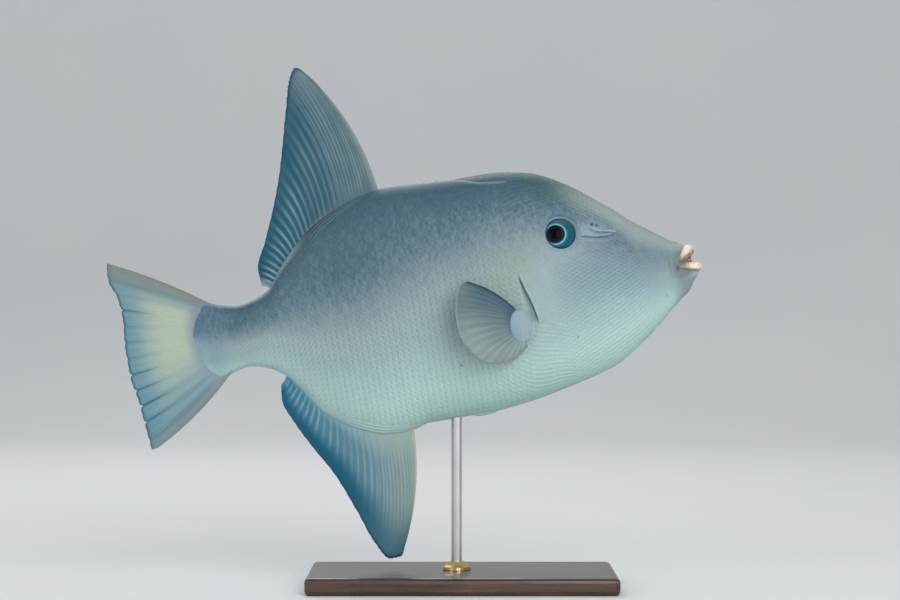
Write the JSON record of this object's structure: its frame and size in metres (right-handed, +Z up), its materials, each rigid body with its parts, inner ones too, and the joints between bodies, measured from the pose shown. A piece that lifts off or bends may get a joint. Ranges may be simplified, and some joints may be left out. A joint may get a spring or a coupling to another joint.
{
  "type": "ocean triggerfish display model",
  "caption": "Life-size ocean triggerfish, nose slightly up, with tall dorsal and anal fins and small jaws, on a rod over a flat base.",
  "frame": {"origin": "middle of the stand base's underside", "axes": "+X towards the fish's snout along the base's long side, +Y towards the fish's left flank, +Z up"},
  "size_m": [0.4468, 0.13, 0.3901],
  "materials": {
    "skin": "satin",
    "membrane": "satin",
    "lip_skin": "satin",
    "spine": "satin",
    "eyeball": "gloss",
    "stained_wood": "satin",
    "steel": "satin",
    "brass": "polished"
  },
  "bodies": {
    "root": {"head": "skin", "torso": "skin", "tail": "skin", "gill_flap_right": "skin", "gill_flap_left": "skin", "dorsal_fin": "membrane", "anal_fin": "membrane", "caudal_fin": "membrane", "pectoral_fin_right": "membrane", "pectoral_fin_left": "membrane", "jaw_upper": "lip_skin", "jaw_lower": "lip_skin", "spine_first": "spine", "spine_second": "spine", "pelvic_spine": "spine", "eye_right": "eyeball", "eye_left": "eyeball", "stand_base": "stained_wood", "stand_rod": "steel", "stand_collar": "brass"}
  },
  "joints": []
}
